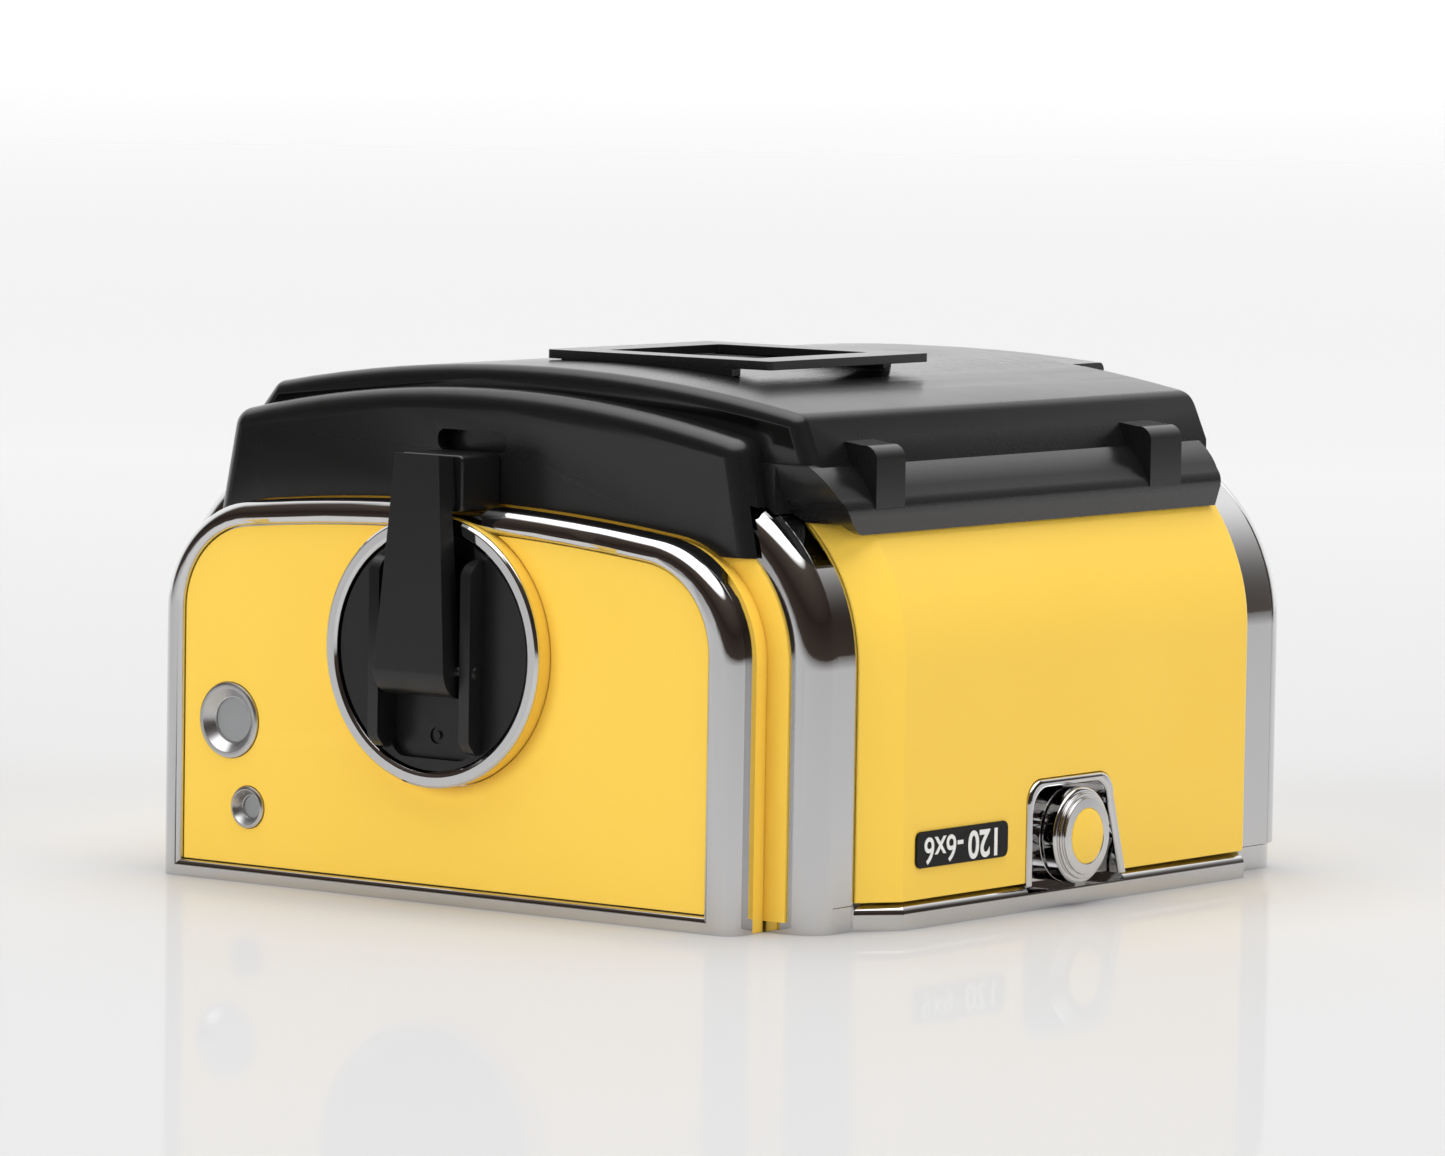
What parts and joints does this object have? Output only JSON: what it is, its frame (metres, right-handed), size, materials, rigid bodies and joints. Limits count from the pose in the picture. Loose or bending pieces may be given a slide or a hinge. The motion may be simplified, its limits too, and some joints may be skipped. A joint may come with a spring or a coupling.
{
  "type": "roll film magazine",
  "caption": "Detachable roll-film magazine for a medium-format camera, with folding winding crank, release button, dark slide and pull-out film insert.",
  "frame": {"origin": "centre of the film gate, on the front plate's mating face", "axes": "+X is the magazine's top side with the release button, -Y the winding-crank side, +Z its back; it lies on its front plate"},
  "size_m": [0.0965, 0.1078, 0.0573],
  "materials": {
    "chrome": "polished chromium plate",
    "satin_metal": "satin",
    "yellow_leather": "smooth fine-grained leatherette",
    "black_plastic": "satin moulded, very fine grain",
    "black_crank": "satin with small casting specks",
    "black_frame": "matt black paint",
    "brass_gear": "machined",
    "window_glass": "clear",
    "dial_white": "matt with printed figures",
    "flag_enamel": "enamel, half white and half red",
    "label_black": null,
    "spool_plastic": "moulded black",
    "slide_steel": "fine brushed"
  },
  "bodies": {
    "magazine": {"front_plate": "chrome", "plate_screw_1": "satin_metal", "plate_screw_2": "satin_metal", "plate_screw_3": "satin_metal", "plate_screw_4": "satin_metal", "end_frame": "chrome", "casing": "chrome", "top_leather": "yellow_leather", "foot_leather": "yellow_leather", "ledge_leather": "yellow_leather", "housing_base": "yellow_leather", "housing_cover": "chrome", "side_leather": "yellow_leather", "crank_collar": "yellow_leather", "crank_ring": "chrome", "counter_bezel": "satin_metal", "counter_glass": "window_glass", "flag_bezel": "satin_metal", "flag_glass": "window_glass", "rear_cover": "black_plastic", "catch_block": "black_plastic", "memo_holder": "black_plastic", "label_plate": "label_black", "button_niche": "chrome"},
    "button": {"release_button": "chrome", "button_cap": "yellow_leather", "catch_plate": "satin_metal"},
    "crank": {"crank_disc": "black_crank", "crank_shaft": "satin_metal", "winding_gear": "brass_gear"},
    "lever": {"crank_lever": "black_crank", "hinge_pin": "satin_metal"},
    "takeup": {"takeup_gear": "brass_gear", "takeup_shaft": "satin_metal"},
    "camera_gear": {"body_gear": "brass_gear"},
    "dial": {"counter_dial": "dial_white"},
    "flag": {"film_flag": "flag_enamel"},
    "insert": {"insert_lid": "chrome", "lid_leather": "yellow_leather", "insert_frame": "black_frame", "plate_spring_top": "satin_metal", "plate_spring_foot": "satin_metal"},
    "spool_take": {"takeup_spool": "spool_plastic"},
    "spool_supply": {"supply_spool": "spool_plastic"},
    "film_roller_top": {"roller_top": "satin_metal"},
    "film_roller_foot": {"roller_foot": "satin_metal"},
    "film_plate": {"pressure_plate": "black_frame"},
    "key": {"key_disc": "satin_metal"},
    "key_grip": {"key_handle": "satin_metal"},
    "slide": {"dark_slide": "slide_steel", "slide_pull": "slide_steel"}
  },
  "joints": [
    {"name": "crank_spin", "type": "hinge", "parent": "magazine", "child": "crank", "pos_m": [-0.0009, -0.05, 0.0266], "axis": [0, -1, 0], "continuous": true},
    {"name": "crank_fold", "type": "hinge", "parent": "crank", "child": "lever", "pos_m": [-0.0009, -0.0514, 0.0249], "axis": [1, 0, 0], "range_deg": [0, 165]},
    {"name": "takeup_spin", "type": "hinge", "parent": "magazine", "child": "takeup", "pos_m": [0.01714, -0.046, 0.029], "axis": [0, -1, 0], "continuous": true},
    {"name": "camera_gear_spin", "type": "hinge", "parent": "magazine", "child": "camera_gear", "pos_m": [-0.00919, -0.046, 0.01041], "axis": [0, -1, 0], "continuous": true},
    {"name": "dial_turn", "type": "hinge", "parent": "magazine", "child": "dial", "pos_m": [-0.0255, -0.046, 0.024], "axis": [0, -1, 0], "continuous": true},
    {"name": "flag_turn", "type": "hinge", "parent": "magazine", "child": "flag", "pos_m": [-0.0316, -0.046, 0.0064], "axis": [0, -1, 0], "range_deg": [0, 25]},
    {"name": "release_slide", "type": "slide", "parent": "magazine", "child": "button", "axis": [0, -1, 0], "range_m": [0, 0.002], "stiffness_N_per_m": 400, "springref_m": -0.003},
    {"name": "insert_slide", "type": "slide", "parent": "magazine", "child": "insert", "axis": [0, 1, 0], "range_m": [0, 0.085]},
    {"name": "takeup_spool_spin", "type": "hinge", "parent": "insert", "child": "spool_take", "pos_m": [0.01714, 0, 0.029], "axis": [0, -1, 0], "continuous": true},
    {"name": "supply_spool_spin", "type": "hinge", "parent": "insert", "child": "spool_supply", "pos_m": [-0.01714, 0, 0.029], "axis": [0, -1, 0], "continuous": true},
    {"name": "roller_top_spin", "type": "hinge", "parent": "insert", "child": "film_roller_top", "pos_m": [0.034, 0, 0.0092], "axis": [0, -1, 0], "continuous": true},
    {"name": "roller_foot_spin", "type": "hinge", "parent": "insert", "child": "film_roller_foot", "pos_m": [-0.034, 0, 0.0092], "axis": [0, -1, 0], "continuous": true},
    {"name": "film_plate_lift", "type": "slide", "parent": "insert", "child": "film_plate", "axis": [0, 0, 1], "range_m": [0, 0.0005], "stiffness_N_per_m": 600, "springref_m": -0.003, "deforming": ["plate_spring_top", "plate_spring_foot"]},
    {"name": "key_turn", "type": "hinge", "parent": "insert", "child": "key", "pos_m": [0, 0.044, 0.024], "axis": [0, 1, 0], "range_deg": [0, 90]},
    {"name": "key_fold", "type": "hinge", "parent": "key", "child": "key_grip", "pos_m": [0, 0.04555, 0.024], "axis": [1, 0, 0], "range_deg": [0, 90]},
    {"name": "dark_slide_pull", "type": "slide", "parent": "magazine", "child": "slide", "axis": [0, 1, 0], "range_m": [0, 0.08]}
  ],
  "couplings": [
    {"joint": "takeup_spin", "follows": "crank_spin", "ratio": -1},
    {"joint": "camera_gear_spin", "follows": "crank_spin", "ratio": -1},
    {"joint": "takeup_spool_spin", "follows": "crank_spin", "ratio": -1},
    {"joint": "dial_turn", "follows": "crank_spin", "ratio": 0.071429}
  ]
}
